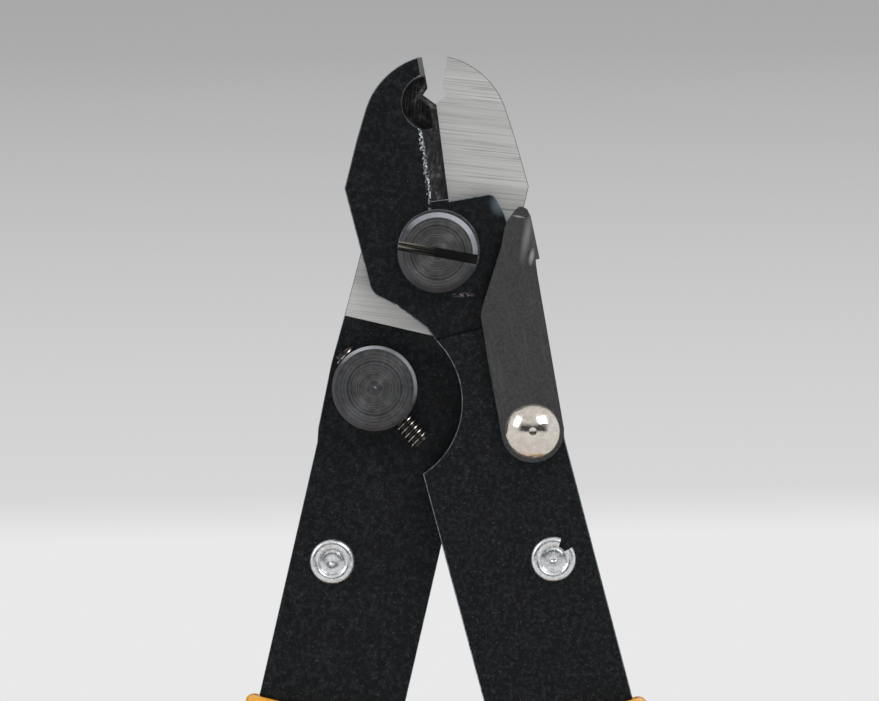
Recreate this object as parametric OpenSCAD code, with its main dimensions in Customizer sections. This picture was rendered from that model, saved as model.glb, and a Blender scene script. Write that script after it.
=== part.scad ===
// Fibre stripper: two steel stampings crossed on a slotted pivot screw.
// Squeezing the grips brings two notched, bevelled blades past each other until
// the stop screw meets the front lever, which leaves a hole the size of the fibre's coating.
// Millimetres. +Z runs up towards the jaws, +X to the right, and the front faces -Y.
// The origin is on the ground under the pivot, in the plane where the blades slide.
// Outlines are drawn as [x, z] from the pivot, with the handles fully open.

/* [Whole tool] */
// Height from the grip ends to the blade tips
overall_h = 130; // [122:1:140]
// Lean of each handle from the middle, fully open
handle_tilt = 13.9; // [13:0.1:15]

/* [Levers] */
// Thickness of the stamped steel
lever_t = 2.4; // [2:0.1:3]
// Width of a handle
handle_w = 17.25; // [16.8:0.05:17.6]
// Width of the steel at the far end, inside the grip
handle_end_w = 13.5; // [12:0.1:15]
// How far each handle is set off from the blades' sliding plane
joggle = 0.8; // [0.4:0.1:1.2]
// Distance down the handle from the pivot to where that step starts
joggle_start = 9.8; // [9:0.1:10.5]
// Length of the step
joggle_run = 1.8; // [1.5:0.1:2.5]
// Distance down the handle at which it starts to curve inwards
handle_bend = 62; // [60:1:66]

/* [Jaws] */
// Lean of a blade's edge from the middle
blade_lean = 7; // [6:0.1:8]
// Width of the bevel on a blade
blade_bevel = 2.3; // [1.8:0.1:2.6]
// Width of the small bevel at the tip
tip_bevel = 0.6; // [0.3:0.1:0.8]
// Radius of the round scoop behind the notch, at its floor
scoop_r = 3; // [2.6:0.1:3.2]
// Steel left under the scoop
scoop_web = 0.8; // [0.6:0.1:1.2]
// Flat land left along the notch's edges
notch_land = 0.15; // [0.1:0.05:0.3]

/* [Pivot] */
// Radius of the pivot screw's shank
pivot_r = 3; // [2.5:0.1:3.4]
// Running clearance round the shank in the front lever
pivot_gap = 0.05; // [0.02:0.01:0.1]
// Radius of the screw's head
pivot_head_r = 4.8; // [4.4:0.1:5]
// Turn of the screwdriver slot from level
pivot_slot_turn = 11.2; // [0:0.1:90]

/* [Stop] */
// Radius of the round post that carries the stop screw
barrel_r = 5.1; // [4.6:0.1:5.4]
// Radius of the stop screw, a number 4 thread
stop_r = 1.42; // [1.2:0.01:1.5]
// Slope of the stop screw below level
stop_slope = 49.8; // [46:0.1:54]
// Reach of the stop screw's tip from the post's centre
stop_reach = 8.62; // [7.5:0.01:8.7]

/* [Lock] */
// Thickness of the lock lever
lock_t = 0.9; // [0.8:0.05:1]
// Radius of the lock rivet's domed head
lock_head_r = 3.28; // [3:0.01:3.5]
// Thickness of the wave washer under the lock lever
lock_washer_t = 0.3; // [0.2:0.05:0.4]

/* [Spring] */
// Diameter of the spring wire
wire_d = 1.2; // [1:0.05:1.2]
// Mean radius of the spring's coil
coil_r = 5.2; // [5.1:0.05:5.4]
// Radius of the posts that the spring's legs hook onto
post_r = 2; // [1.8:0.1:2.2]
// Radius of a post's rolled end
post_head_r = 2.7; // [2.4:0.1:3]

/* [Grips] */
// Wall of the grips at the edges of the steel
grip_wall = 1.5; // [1.2:0.1:2]
// Thickness of a grip, front to back
grip_t = 8.4; // [7:0.1:8.8]
// Distance down the handle to the left grip's rim
left_grip_start = 56.6; // [56:0.1:60]
// Distance down the handle to the right grip's rim
right_grip_start = 57.5; // [56:0.1:60]

/* [Hidden] */
$fn = 64;

eps = 0.01;             // gap or overrun that only keeps faces apart
seat_gap = 0.02;        // clearance of a fixed shank in its hole
rub_gap = 0.01;         // half the oil film between the two ground faces
through = 8;            // reach of a cutter that goes right through, from the sliding plane
pin_r = 1.6;            // radius of the rivet's and the posts' shanks in the levers

// Places, from the pivot
jaw_centre = [0.61, 14.34];     // centre of the jaw's round nose
jaw_r = 9.45;
tip_angle = 103.1;
jaw_side = [-9.49, 13.64];
jaw_corner = [-11.03, 7.85];
hub_round = [-6.1, -3.3];       // centre of the hub's round lower corner
hub_round_r = 2.15;
waist_centre = [-7.6, -17.76];  // centre of the hollow that clears the post
waist_r = 10.2;
hub_corner = [6.15, 5.75];      // centre of the hub's round upper corner
hub_corner_r = 1.15;
blade_foot = [1.52, 6.44];      // where the blade's edge meets the hub
blade_top = [0.13, 17.76];      // where the blade's edge meets the notch
notch = [-1.47, 18.98];
notch_lip = [-0.9, 19.79];      // where the notch meets the tip
scoop_centre = [-0.68, 18];
barrel_at = [-7.8, -16.1];
lock_at = [11, -21.5];
post_at = [13.25, -36.83];

// Levels along Y, as distances from the sliding plane
hub_face = lever_t + rub_gap;
handle_inner = joggle + rub_gap;
handle_face = handle_inner + lever_t;
washer_t = 0.4;
nut_bore_r = 2.5;
head_base = hub_face + washer_t;
head_face = head_base + 2.1;
barrel_face = 4.4;
barrel_tail_r = 2.5;
stop_level = (handle_inner + handle_face) / 2;
lock_base = handle_face + lock_washer_t;
lock_face = lock_base + lock_t;

// The curve of the handle's lower half: an arc that ends upright
grip_floor = 2.2;
blade_rise = jaw_centre[1] + jaw_r * sin(tip_angle);
pivot_z = overall_h - blade_rise;
steel_drop = pivot_z - grip_floor;
handle_off = 0.29;
bend_mid = [handle_off * cos(handle_tilt) + handle_bend * sin(handle_tilt),
            handle_off * sin(handle_tilt) - handle_bend * cos(handle_tilt)];
bend_r = (steel_drop + bend_mid[1]) / sin(handle_tilt);
bend_centre = bend_mid - bend_r * [cos(handle_tilt), sin(handle_tilt)];
bend_len = bend_r * handle_tilt * PI / 180;
steel_len = handle_bend + bend_len;

function arc(c, r, a0, a1, n) =
    [for (i = [0:n]) let (a = a0 + (a1 - a0) * i / n) c + r * [cos(a), sin(a)]];

// Share of the curved part passed at distance s down the handle, from 0 to 1
function bent(s) = min(max((s - handle_bend) / bend_len, 0), 1);
function turn(s) = handle_tilt * (1 - bent(s));
function half_w(s) = (handle_w + (handle_end_w - handle_w) * bent(s)) / 2;

// A point s down the handle and w across it, w growing outwards
function on_handle(s, w) =
    s < handle_bend
    ? bend_mid + (s - handle_bend) * [sin(handle_tilt), -cos(handle_tilt)]
      + w * [cos(handle_tilt), sin(handle_tilt)]
    : bend_centre + (bend_r + w) * [cos(turn(s)), sin(turn(s))] - [0, max(s - steel_len, 0)];

handle_steps = [for (i = [0:8]) handle_bend + bend_len * i / 8];

// The front lever's waist is hollowed to clear the stop's post; the back lever's edge runs straight
hollow_waist = concat([[-4.9, -6.3], [-1.5, -8.95]], arc(waist_centre, waist_r, 42, -58, 24));
straight_waist = [];

function lever_outline(waist) = concat(
    arc(jaw_centre, jaw_r, tip_angle, 161, 14),
    [jaw_side, jaw_corner],
    arc(hub_round, hub_round_r, 194, 236, 4),
    waist,
    [for (s = handle_steps) on_handle(s, -half_w(s))],
    [for (i = [8:-1:0]) on_handle(handle_steps[i], half_w(handle_steps[i]))],
    [[14.82, -22.5], [14.68, -20.8], [13, -13.1], [10.66, -5.1], [8.05, 4.5]],
    arc(hub_corner, hub_corner_r, 12, 92, 5),
    [[blade_foot[0], 6.17], blade_foot, blade_top, notch, notch_lip]
);

// Extrudes an [x, z] outline along Y, from level y0 to level y1
module slab(y0, y1) {
    translate([0, y1, 0]) rotate([90, 0, 0]) linear_extrude(y1 - y0) children();
}

// Turns a part drawn along +Z so that it points forwards, to -Y, at a place in [x, z]
module forward(at, level = 0) {
    translate([at[0], -level, at[1]]) rotate([90, 0, 0]) children();
}

module at_pivot() {
    translate([0, 0, pivot_z]) children();
}

// Joins rings of points into one closed skin
module skin(rings) {
    n = len(rings[0]);
    m = len(rings);
    sides = [for (j = [0:m - 2], i = [0:n - 1], half = [0, 1])
             let (a = j * n + i, b = j * n + (i + 1) % n)
             half == 0 ? [a, b, b + n] : [a, b + n, a + n]];
    first = [for (i = [n - 1:-1:0]) i];
    last = [for (i = [0:n - 1]) (m - 1) * n + i];
    polyhedron(points = [for (r = rings) each r], faces = concat([first], sides, [last]));
}

// The sheet that a lever is stamped from, with the step that sets the handle forwards:
// eased on the sliding side and sheared sharp on the outer one
module stepped_sheet() {
    top = -rub_gap;
    step = top - joggle;
    far = 150;
    sharp_start = joggle_start + 0.1;
    sharp_run = 0.25;
    rotate([0, 90 - handle_tilt, 0]) translate([0, 0, -far / 2]) linear_extrude(far)
        polygon([[-far / 2, top], [joggle_start, top], [joggle_start + joggle_run, step], [far, step],
                 [far, step - lever_t], [sharp_start + sharp_run, step - lever_t],
                 [sharp_start, top - lever_t], [-far / 2, top - lever_t]]);
}

// Wedge that grinds a bevel back from the edge that starts at foot and leans left
module bevel_cut(foot, lean, length, width) {
    out = 3;
    translate([foot[0], 0, foot[1]]) rotate([0, -lean, 0]) linear_extrude(length)
        polygon([[0, -rub_gap], [-width, -hub_face], [-width, -hub_face - out], [out, -hub_face - out],
                 [out, -rub_gap]]);
}

// The notch's two sides, moved into the steel by o
function notch_sides(o) =
    let (low = blade_top - notch, high = notch_lip - notch,
         a = atan2(low[1], low[0]), b = atan2(high[1], high[0]), mid = (a + b) / 2,
         apex = notch - o / sin((b - a) / 2) * [cos(mid), sin(mid)], reach = 4)
    [apex, apex + reach * [cos(a), sin(a)], apex + reach * [cos(b), sin(b)]];

// Cutter that slopes the notch's sides at 45 degrees and leaves a thin land behind
module notch_cut() {
    deep = 1;
    hull() {
        slab(deep, deep + eps) polygon(notch_sides(-deep - notch_land));
        slab(-deep - eps, -deep) polygon(notch_sides(deep - notch_land));
    }
}

// Conical scoop ground from the outer face to thin the steel behind the notch
module scoop_cut() {
    depth = lever_t - scoop_web + 0.2;
    forward(scoop_centre, scoop_web + rub_gap) cylinder(h = depth, r1 = scoop_r, r2 = scoop_r + 0.5);
}

// Both levers are stamped alike but for the waist: as this lies it is the front one
module lever_blank(waist) {
    blade_len = norm(blade_top - blade_foot);
    tip = jaw_centre + jaw_r * [cos(tip_angle), sin(tip_angle)];
    tip_edge = tip - notch_lip;
    difference() {
        intersection() {
            slab(-handle_face - 1, 1) polygon(lever_outline(waist));
            stepped_sheet();
        }
        bevel_cut(blade_foot, blade_lean, blade_len, blade_bevel);
        bevel_cut(notch_lip, atan2(-tip_edge[0], tip_edge[1]), norm(tip_edge) + 1, tip_bevel);
        scoop_cut();
        notch_cut();
    }
}

// Cutter for a hole through every level of the tool
module through_hole(at, r) {
    forward(at, -through) cylinder(h = 2 * through, r = r);
}

// Front lever: left jaw, right handle
module front_lever() {
    color("#1c2022") at_pivot() difference() {
        lever_blank(hollow_waist);
        through_hole([0, 0], pivot_r + pivot_gap);
        through_hole(lock_at, pin_r + seat_gap);
        through_hole(post_at, pin_r + seat_gap);
    }
}

// Back lever: turned round, with a catch for the lock lever filed in its edge
module back_lever() {
    color("#1c2022") at_pivot() difference() {
        rotate([0, 0, 180]) lever_blank(straight_waist);
        through_hole([0, 0], pivot_r + seat_gap);
        through_hole(barrel_at, barrel_tail_r + seat_gap);
        through_hole([-post_at[0], post_at[1]], pin_r + seat_gap);
        slab(-1, handle_face) polygon([[8.4, 3.6], [11, 3.6], [11, -1.8], [8.55, -1.8]]);
    }
}

// Slotted pivot screw, held fast in the back lever
module pivot_screw() {
    chamfer = 0.6;
    slot_w = 1.15;
    slot_deep = 1.1;
    tail = grip_t / 2 + stop_level - 0.1;
    color("#47484a") at_pivot() difference() {
        forward([0, 0], -tail) rotate_extrude()
            polygon([[0, 0], [nut_bore_r - 0.3, 0], [nut_bore_r, 0.3],
                     [nut_bore_r, tail - hub_face], [pivot_r, tail - hub_face],
                     [pivot_r, tail + head_base], [pivot_head_r, tail + head_base],
                     [pivot_head_r, tail + head_face - chamfer],
                     [pivot_head_r - chamfer, tail + head_face], [0, tail + head_face]]);
        rotate([0, pivot_slot_turn, 0]) translate([-6, -head_face - 1, -slot_w / 2])
            cube([12, slot_deep + 1, slot_w]);
    }
}

// Thin washer under the pivot screw's head, slipped up and to the right as far as its bore lets it
module pivot_washer() {
    play = 0.35;
    slip = [0.13, 0.28];
    color("#8f9295") at_pivot() forward(slip, hub_face) difference() {
        cylinder(h = washer_t, r = pivot_head_r + 0.13);
        translate([0, 0, -1]) cylinder(h = washer_t + 2, r = pivot_r + play);
    }
}

// Round nut behind the back lever: its body is the spring's core and its flange keeps the coil on
module pivot_nut() {
    body = 3.25;
    body_r = coil_r - wire_d / 2 - 0.6;
    flange_t = 0.45;
    flange_r = 6;
    bore_r = nut_bore_r + seat_gap;
    slot_w = 1.2;
    color("#2c2d30") at_pivot() difference() {
        forward([0, 0], -hub_face - body - flange_t) rotate_extrude()
            polygon([[bore_r, 0], [flange_r - 0.3, 0], [flange_r, 0.2], [flange_r, flange_t],
                     [body_r, flange_t], [body_r, flange_t + body], [bore_r, flange_t + body]]);
        for (side = [-1, 1])
            translate([side * 4.7 - 1.4, hub_face + body - 0.3, -slot_w / 2]) cube([2.8, 2, slot_w]);
    }
}

// Post riveted into the back lever, bored across for the stop screw
module stop_barrel() {
    chamfer = 0.4;
    tail_head = 0.8;
    length = handle_inner + barrel_face;
    plate = tail_head + lever_t;
    color("#3e3f41") at_pivot() difference() {
        forward(barrel_at, -handle_face - tail_head) rotate_extrude()
            polygon([[0, 0], [barrel_tail_r, 0], [3.3, 0.5], [3.3, tail_head],
                     [barrel_tail_r, tail_head], [barrel_tail_r, plate],
                     [barrel_r, plate], [barrel_r, plate + length - chamfer],
                     [barrel_r - chamfer, plate + length], [0, plate + length]]);
        along_stop() translate([0, 0, -10]) cylinder(h = 20, r = stop_r + 0.03);
    }
}

// Frame of the stop screw: +Z runs along it, down and to the right
module along_stop() {
    translate([barrel_at[0], -stop_level, barrel_at[1]]) rotate([0, 90 + stop_slope, 0]) children();
}

// Headless stop screw with a screwdriver slot at its upper end
module stop_screw() {
    chamfer = 0.4;
    upper = -5.85;
    slot_w = 0.55;
    color("#2a2b2d") at_pivot() along_stop() difference() {
        rotate_extrude() polygon([[0, upper], [stop_r - chamfer, upper], [stop_r, upper + chamfer],
                                  [stop_r, stop_reach - chamfer], [stop_r - chamfer, stop_reach],
                                  [0, stop_reach]]);
        translate([-2, -slot_w / 2, upper - 1]) cube([4, slot_w, 1.9]);
    }
}

// The lock lever's flat arm, and its side fold's foot, lean and outer bend radius
lock_outline = concat(
    arc(lock_at, 3.75, 12, -166, 22),
    [[7, -20.1], [5.85, -13.4], [5.02, -7.6], [5.22, -6.6], [7.62, 0.67], [8.06, 3], [8.5, 3.8],
     [9.28, 4.92], [9.75, 5.27], [10.2, 5.32], [10.75, 5.02], [11.2, 4.1], [11.7, -1.35],
     [11.84, -2.65]]
);
fold_foot = [12.17, -0.9];
fold_lean = 11;
fold_length = 5.3;
fold_bend = 1.15;

// Frame of the side fold: +Z runs up along the bend and -X into the flat arm
module along_fold() {
    translate([fold_foot[0], -lock_face, fold_foot[1]]) rotate([0, -fold_lean, 0]) children();
}

// The side folded back at a right angle, to reach behind the sliding plane by past
module side_fold(past) {
    leg = lock_face + past - fold_bend;
    along_fold() linear_extrude(fold_length) {
        translate([-fold_bend, fold_bend]) intersection() {
            difference() {
                circle(r = fold_bend);
                circle(r = fold_bend - lock_t);
            }
            translate([0, -fold_bend]) square(fold_bend);
        }
        translate([-lock_t, fold_bend]) square([lock_t, leg]);
    }
}

// The flat arm, cut off where the fold's bend starts
module lock_arm() {
    difference() {
        slab(-lock_face, -lock_base) polygon(lock_outline);
        along_fold() translate([eps - fold_bend, -1, 0]) cube([5, lock_t + 2, fold_length - eps]);
    }
}

// The top edge folded back a little way
module fold_top() {
    intersection() {
        slab(-lock_face, -lock_base + 1.2) polygon(lock_outline);
        translate([8.4, -lock_face, 4.4]) cube([2.6, 3, 2]);
    }
}

// Pressed lock lever: a flat arm with one side and its top folded back, to catch the back lever
module lock_lever() {
    color("#3b3c3d") at_pivot() difference() {
        union() {
            lock_arm();
            side_fold(2);
            fold_top();
        }
        through_hole(lock_at, pin_r + pivot_gap);
    }
}

// Domed rivet that the lock lever turns on
module lock_rivet() {
    dome = 1.6;
    dome_r = (lock_head_r * lock_head_r + dome * dome) / (2 * dome);
    tail_head = 0.6;
    length = tail_head + lock_face - handle_inner + eps;
    color("#c9c5bd") at_pivot() {
        forward(lock_at, lock_face) intersection() {
            translate([0, 0, dome - dome_r]) sphere(r = dome_r);
            cylinder(h = dome + 1, r = lock_head_r + 1);
        }
        forward(lock_at, handle_inner - tail_head) rotate_extrude()
            polygon([[0, 0], [2.3, 0], [2.6, 0.3], [2.6, tail_head], [pin_r, tail_head],
                     [pin_r, length], [0, length]]);
    }
}

// Wave washer that gives the lock lever its drag, drawn pressed flat
module lock_wave_washer() {
    color("#8f9295") at_pivot() forward(lock_at, handle_face) difference() {
        cylinder(h = lock_washer_t, r = 3.3);
        translate([0, 0, -1]) cylinder(h = lock_washer_t + 2, r = pin_r + pivot_gap);
    }
}

// Post for one leg of the spring: a headed pin behind the handle, rolled over in front
module spring_post(at, face, back, hook_level) {
    roll = 0.7;
    head = 0.5;
    rear = hook_level + wire_d / 2 + 0.1;
    total = rear + head + face + roll;
    color("#c4c6c8") at_pivot() forward(at, -rear - head) rotate_extrude()
        polygon([[0, 0], [2.4, 0], [2.7, 0.2], [2.7, head], [post_r, head], [post_r, rear + head - back],
                 [pin_r, rear + head - back], [pin_r, total - roll], [post_head_r, total - roll],
                 [post_head_r, total - 0.35], [post_head_r - 0.5, total], [1.5, total - 0.15],
                 [1.2, total - 0.45], [0.3, total - 0.3], [0, total - 0.45]]);
}

near_turn = hub_face + wire_d / 2 + 0.1;
near_hook = handle_face + wire_d / 2 + 0.14;
far_turn = near_turn + 1.85;

module left_spring_post() {
    spring_post([-post_at[0], post_at[1]], -handle_inner, handle_face, far_turn);
}

module right_spring_post() {
    spring_post(post_at, handle_face, -handle_inner, near_hook);
}

// Torsion spring round the nut, each leg hooked under its post
hook_r = post_r + wire_d / 2 + 0.05;
leg_tilt = atan2(post_at[0], -post_at[1]) - asin((coil_r + hook_r) / norm(post_at));

function hook_path(side, y) =
    [for (i = [0:8]) let (a = 180 + leg_tilt + 150 * i / 8)
     [side * (post_at[0] + hook_r * cos(a)), y, post_at[1] + hook_r * sin(a)]];

function coil_path() =
    let (sweep = 540 - 2 * leg_tilt, steps = 36)
    [for (i = [0:steps]) let (a = leg_tilt + sweep * i / steps)
     [coil_r * cos(a), near_turn + (far_turn - near_turn) * i / steps, coil_r * sin(a)]];

// The near leg steps back on its way down, to pass behind the other handle when it closes
function near_leg() =
    let (out = [cos(leg_tilt), sin(leg_tilt)], top = coil_r * out, foot = post_at - hook_r * out)
    [for (stop = [[0.13, near_turn], [0.27, near_hook]])
     let (p = top + stop[0] * (foot - top)) [p[0], stop[1], p[1]]];

function reversed(list) = [for (i = [len(list) - 1:-1:0]) list[i]];

// A ring of points round each point of a path
function tube(path, r, sides) =
    let (last = len(path) - 1)
    [for (i = [0:last])
     let (along = path[min(i + 1, last)] - path[max(i - 1, 0)], t = along / norm(along),
          u0 = [0, 1, 0] - t[1] * t, u = u0 / norm(u0), v = cross(t, u))
     [for (k = [0:sides - 1]) let (a = 360 * k / sides) path[i] + r * (cos(a) * u + sin(a) * v)]];

module return_spring() {
    path = concat(reversed(hook_path(1, near_hook)), reversed(near_leg()), coil_path(),
                  hook_path(-1, far_turn));
    color("#a4a7aa") at_pivot() skin(tube(path, wire_d / 2, 10));
}

// Soft grip: a rounded sleeve lofted down the handle, closed and flat at its end.
// Drawn on the front lever's handle; level is the middle of the steel.
function grip_ring(s, inset, level) =
    let (end = max(s - steel_len, 0), sides = 28, squareness = 2 / 3.4,
         hw = half_w(s) + grip_wall - inset, hh = grip_t / 2 - inset)
    [for (k = [0:sides - 1])
     let (a = 360 * k / sides, c = cos(a), q = sin(a),
          p = on_handle(s, hw * sign(c) * pow(abs(c), squareness)))
     [p[0], level + hh * sign(q) * pow(abs(q), squareness), p[1]]];

module grip(start, level) {
    lip = 0.9;
    toe = 2;
    end = steel_len + grip_floor;
    rim = [for (a = [0, 30, 60]) grip_ring(start + lip * (1 - cos(a)), lip * (1 - sin(a)), level)];
    length = [for (i = [0:12]) grip_ring(start + lip + (end - toe - start - lip) * i / 12, 0, level)];
    foot = [for (a = [30, 60, 90]) grip_ring(end - toe + toe * sin(a), toe * (1 - cos(a)), level)];
    difference() {
        skin(concat(rim, length, foot));
        slab(level - lever_t / 2, level + lever_t / 2) polygon(lever_outline(straight_waist));
    }
}

module right_grip() {
    color("#f2a81d") at_pivot() grip(right_grip_start, -stop_level);
}

module left_grip() {
    color("#f2a81d") at_pivot() rotate([0, 0, 180]) grip(left_grip_start, -stop_level);
}

front_lever();
back_lever();
pivot_screw();
pivot_washer();
pivot_nut();
stop_barrel();
stop_screw();
lock_lever();
lock_rivet();
lock_wave_washer();
left_spring_post();
right_spring_post();
return_spring();
left_grip();
right_grip();
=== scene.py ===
import math
import random

import bmesh
import bpy
from mathutils import Matrix, Vector


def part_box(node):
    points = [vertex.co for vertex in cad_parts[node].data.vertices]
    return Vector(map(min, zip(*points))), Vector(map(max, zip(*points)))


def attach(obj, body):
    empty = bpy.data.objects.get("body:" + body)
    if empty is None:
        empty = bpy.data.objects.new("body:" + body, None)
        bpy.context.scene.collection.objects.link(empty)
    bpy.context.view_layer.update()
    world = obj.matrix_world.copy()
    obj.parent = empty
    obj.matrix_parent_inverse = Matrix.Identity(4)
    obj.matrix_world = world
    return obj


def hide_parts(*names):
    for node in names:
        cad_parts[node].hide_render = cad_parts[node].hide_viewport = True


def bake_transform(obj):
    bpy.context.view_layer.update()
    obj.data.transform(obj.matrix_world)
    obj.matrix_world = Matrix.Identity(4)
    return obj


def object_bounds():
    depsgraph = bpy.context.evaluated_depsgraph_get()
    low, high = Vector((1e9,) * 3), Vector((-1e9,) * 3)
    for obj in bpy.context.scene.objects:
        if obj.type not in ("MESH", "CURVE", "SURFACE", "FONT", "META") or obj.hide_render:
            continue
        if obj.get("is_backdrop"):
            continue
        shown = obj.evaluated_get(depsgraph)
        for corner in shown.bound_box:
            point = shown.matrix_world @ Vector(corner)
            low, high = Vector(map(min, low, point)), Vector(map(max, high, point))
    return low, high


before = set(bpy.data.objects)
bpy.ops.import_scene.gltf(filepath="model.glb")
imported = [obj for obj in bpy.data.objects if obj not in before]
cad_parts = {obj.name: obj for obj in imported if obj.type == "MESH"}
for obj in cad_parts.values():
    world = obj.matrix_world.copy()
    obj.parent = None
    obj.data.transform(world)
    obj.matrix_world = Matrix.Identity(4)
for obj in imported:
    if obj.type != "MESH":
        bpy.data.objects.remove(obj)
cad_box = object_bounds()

# The studio: a long lens square to the front of the tool, a pale table and a grey paper wall
# that darkens upwards. At eye level the room is dim in front and behind, as behind a real camera,
# and bright at both sides and overhead, so bare steel shows bands and rounded edges catch light.
MM = 0.001
VIEW_WIDTH = 105.48 * MM
VIEW_HEIGHT_ABOVE_TABLE = 94.76 * MM
VIEW_ASIDE = 0.03 * MM
VIEW_ROLL = math.radians(0.9)
CAMERA_DISTANCE = 0.8
SENSOR = 36.0
ROOM_RADIUS = 3.14
WALL_HEIGHT = 3.0
TABLE_TONE = 0xE9E9E9
# Height on the wall in metres, and the tone there
WALL_TONES = ((0.0, 0xDFDFDF), (0.012, 0xD7D7D7), (0.065, 0xD2D2D2), (0.124, 0xCACACA),
              (0.183, 0xC0C0C0), (0.242, 0xB4B4B4), (0.272, 0xACACAC), (0.32, 0xA6A6A6))
# Sine of the height above the horizon, and how bright the room is there
ROOM_LIGHT = ((-1.0, 0.7), (-0.12, 0.6), (-0.04, 0.06), (0.28, 0.06), (0.48, 0.75), (1.0, 0.75))
SIDE_LIGHT = 0.8


def linear(tone):
    """An sRGB hex colour as linear red, green, blue and alpha."""
    channels = [(tone >> shift & 255) / 255 for shift in (16, 8, 0)]
    return [c / 12.92 if c <= 0.04045 else ((c + 0.055) / 1.055) ** 2.4 for c in channels] + [1]


def output_of(source):
    """The socket itself, or a node's first output that is in use."""
    if isinstance(source, bpy.types.Node):
        return next(socket for socket in source.outputs if socket.enabled)
    return source


def add(tree, kind, inputs=(), stops=(), **settings):
    """Adds a shader node with its settings, its ramp's stops, and its inputs' values or links."""
    node = tree.nodes.new("ShaderNode" + kind)
    for name, value in settings.items():
        setattr(node, name, value)
    for number, (position, colour) in enumerate(stops):
        marks = node.color_ramp.elements
        mark = marks[number] if number < 2 else marks.new(position)
        mark.position = position
        mark.color = colour
    for name, value in dict(inputs).items():
        into = node.inputs[name] if isinstance(name, int) else next(
            socket for socket in node.inputs if socket.enabled and socket.name == name)
        if isinstance(value, (bpy.types.Node, bpy.types.NodeSocket)):
            tree.links.new(output_of(value), into)
        else:
            into.default_value = value
    return node


def new_piece(name, shape, materials, crease=30):
    """Makes a bmesh in metres an object, shaded smooth but for edges over crease degrees."""
    for face in shape.faces:
        face.smooth = True
    for edge in shape.edges:
        edge.smooth = edge.smooth and edge.calc_face_angle(0) < math.radians(crease)
    mesh = bpy.data.meshes.new(name)
    shape.to_mesh(mesh)
    shape.free()
    for material in materials:
        mesh.materials.append(material)
    piece = bpy.data.objects.new(name, mesh)
    bpy.context.scene.collection.objects.link(piece)
    return piece


def studio_paper(name, emission, share):
    """Paper that shows the emission colour by share, and for the rest is lit plainly."""
    material = bpy.data.materials.new(name)
    material.use_nodes = True
    tree = material.node_tree
    tree.nodes.clear()
    path = add(tree, "LightPath")
    place = add(tree, "TexCoord").outputs["Object"]
    glow = add(tree, "Emission", {"Color": emission(tree, place)})
    lit = add(tree, "BsdfDiffuse", {"Color": linear(TABLE_TONE)})
    seen = path.outputs["Is Camera Ray"]
    for ray in ("Is Glossy Ray", "Is Transmission Ray"):
        seen = add(tree, "Math", {0: seen, 1: path.outputs[ray]}, operation="MAXIMUM").outputs[0]
    seen = add(tree, "Math", {0: seen, 1: share(tree, place)}, operation="MULTIPLY")
    both = add(tree, "MixShader", {0: seen.outputs[0], 1: lit.outputs[0], 2: glow.outputs[0]})
    add(tree, "OutputMaterial", {"Surface": both.outputs[0]})
    return material


def wall_colour(tree, place):
    height = add(tree, "SeparateXYZ", {0: place}).outputs["Z"]
    top = WALL_TONES[-1][0]
    share = add(tree, "MapRange", {"Value": height, "From Min": 0, "From Max": top})
    stops = [(level / top, linear(tone)) for level, tone in WALL_TONES]
    return add(tree, "ValToRGB", {0: share.outputs[0]}, stops=stops).outputs[0]


def table_colour(tree, place):
    reach = add(tree, "VectorMath", {0: place}, operation="LENGTH").outputs["Value"]
    share = add(tree, "MapRange", {"Value": reach, "From Min": 2.6, "From Max": ROOM_RADIUS})
    stops = ((0, linear(TABLE_TONE)), (1, linear(WALL_TONES[0][1])))
    return add(tree, "ValToRGB", {0: share.outputs[0]}, stops=stops).outputs[0]


def far_share(tree, place):
    reach = add(tree, "VectorMath", {0: place}, operation="LENGTH").outputs["Value"]
    return add(tree, "MapRange", {"Value": reach, "From Min": 0.16, "From Max": 0.5}).outputs[0]


disc = bmesh.new()
bmesh.ops.create_circle(disc, cap_ends=True, segments=96, radius=ROOM_RADIUS)
table = new_piece("table", disc, [studio_paper("table_paper", table_colour, far_share)])
table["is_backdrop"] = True

ring = bmesh.new()
bmesh.ops.create_circle(ring, segments=96, radius=ROOM_RADIUS)
risen = bmesh.ops.extrude_edge_only(ring, edges=ring.edges[:])["geom"]
bmesh.ops.translate(ring, vec=(0, 0, WALL_HEIGHT),
                    verts=[part for part in risen if isinstance(part, bmesh.types.BMVert)])
wall = new_piece("wall", ring, [studio_paper("wall_paper", wall_colour, lambda tree, place: 1.0)])
wall.visible_diffuse = wall.visible_glossy = wall.visible_transmission = False
wall.visible_shadow = False
wall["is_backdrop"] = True

room = bpy.data.worlds.new("room")
room.use_nodes = True
room.node_tree.nodes.clear()
toward = add(room.node_tree, "SeparateXYZ",
             {0: add(room.node_tree, "TexCoord").outputs["Generated"]}).outputs
upward = add(room.node_tree, "MapRange", {"Value": toward["Z"], "From Min": -1, "From Max": 1})
glow = add(room.node_tree, "ValToRGB", {0: upward.outputs[0]},
           stops=[((height + 1) / 2, (light, light, light, 1)) for height, light in ROOM_LIGHT])
aside = add(room.node_tree, "Math", {0: toward["X"]}, operation="ABSOLUTE")
aside = add(room.node_tree, "MapRange", {"Value": aside.outputs[0], "From Min": 0.6,
                                         "From Max": 0.85, "To Max": SIDE_LIGHT})
glow = add(room.node_tree, "Math", {0: glow.outputs[0], 1: aside.outputs[0]}, operation="MAXIMUM")
glow = add(room.node_tree, "Background", {"Color": glow.outputs[0], "Strength": 1.0})
add(room.node_tree, "OutputWorld", {"Surface": glow.outputs[0]})
bpy.context.scene.world = room

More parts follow.
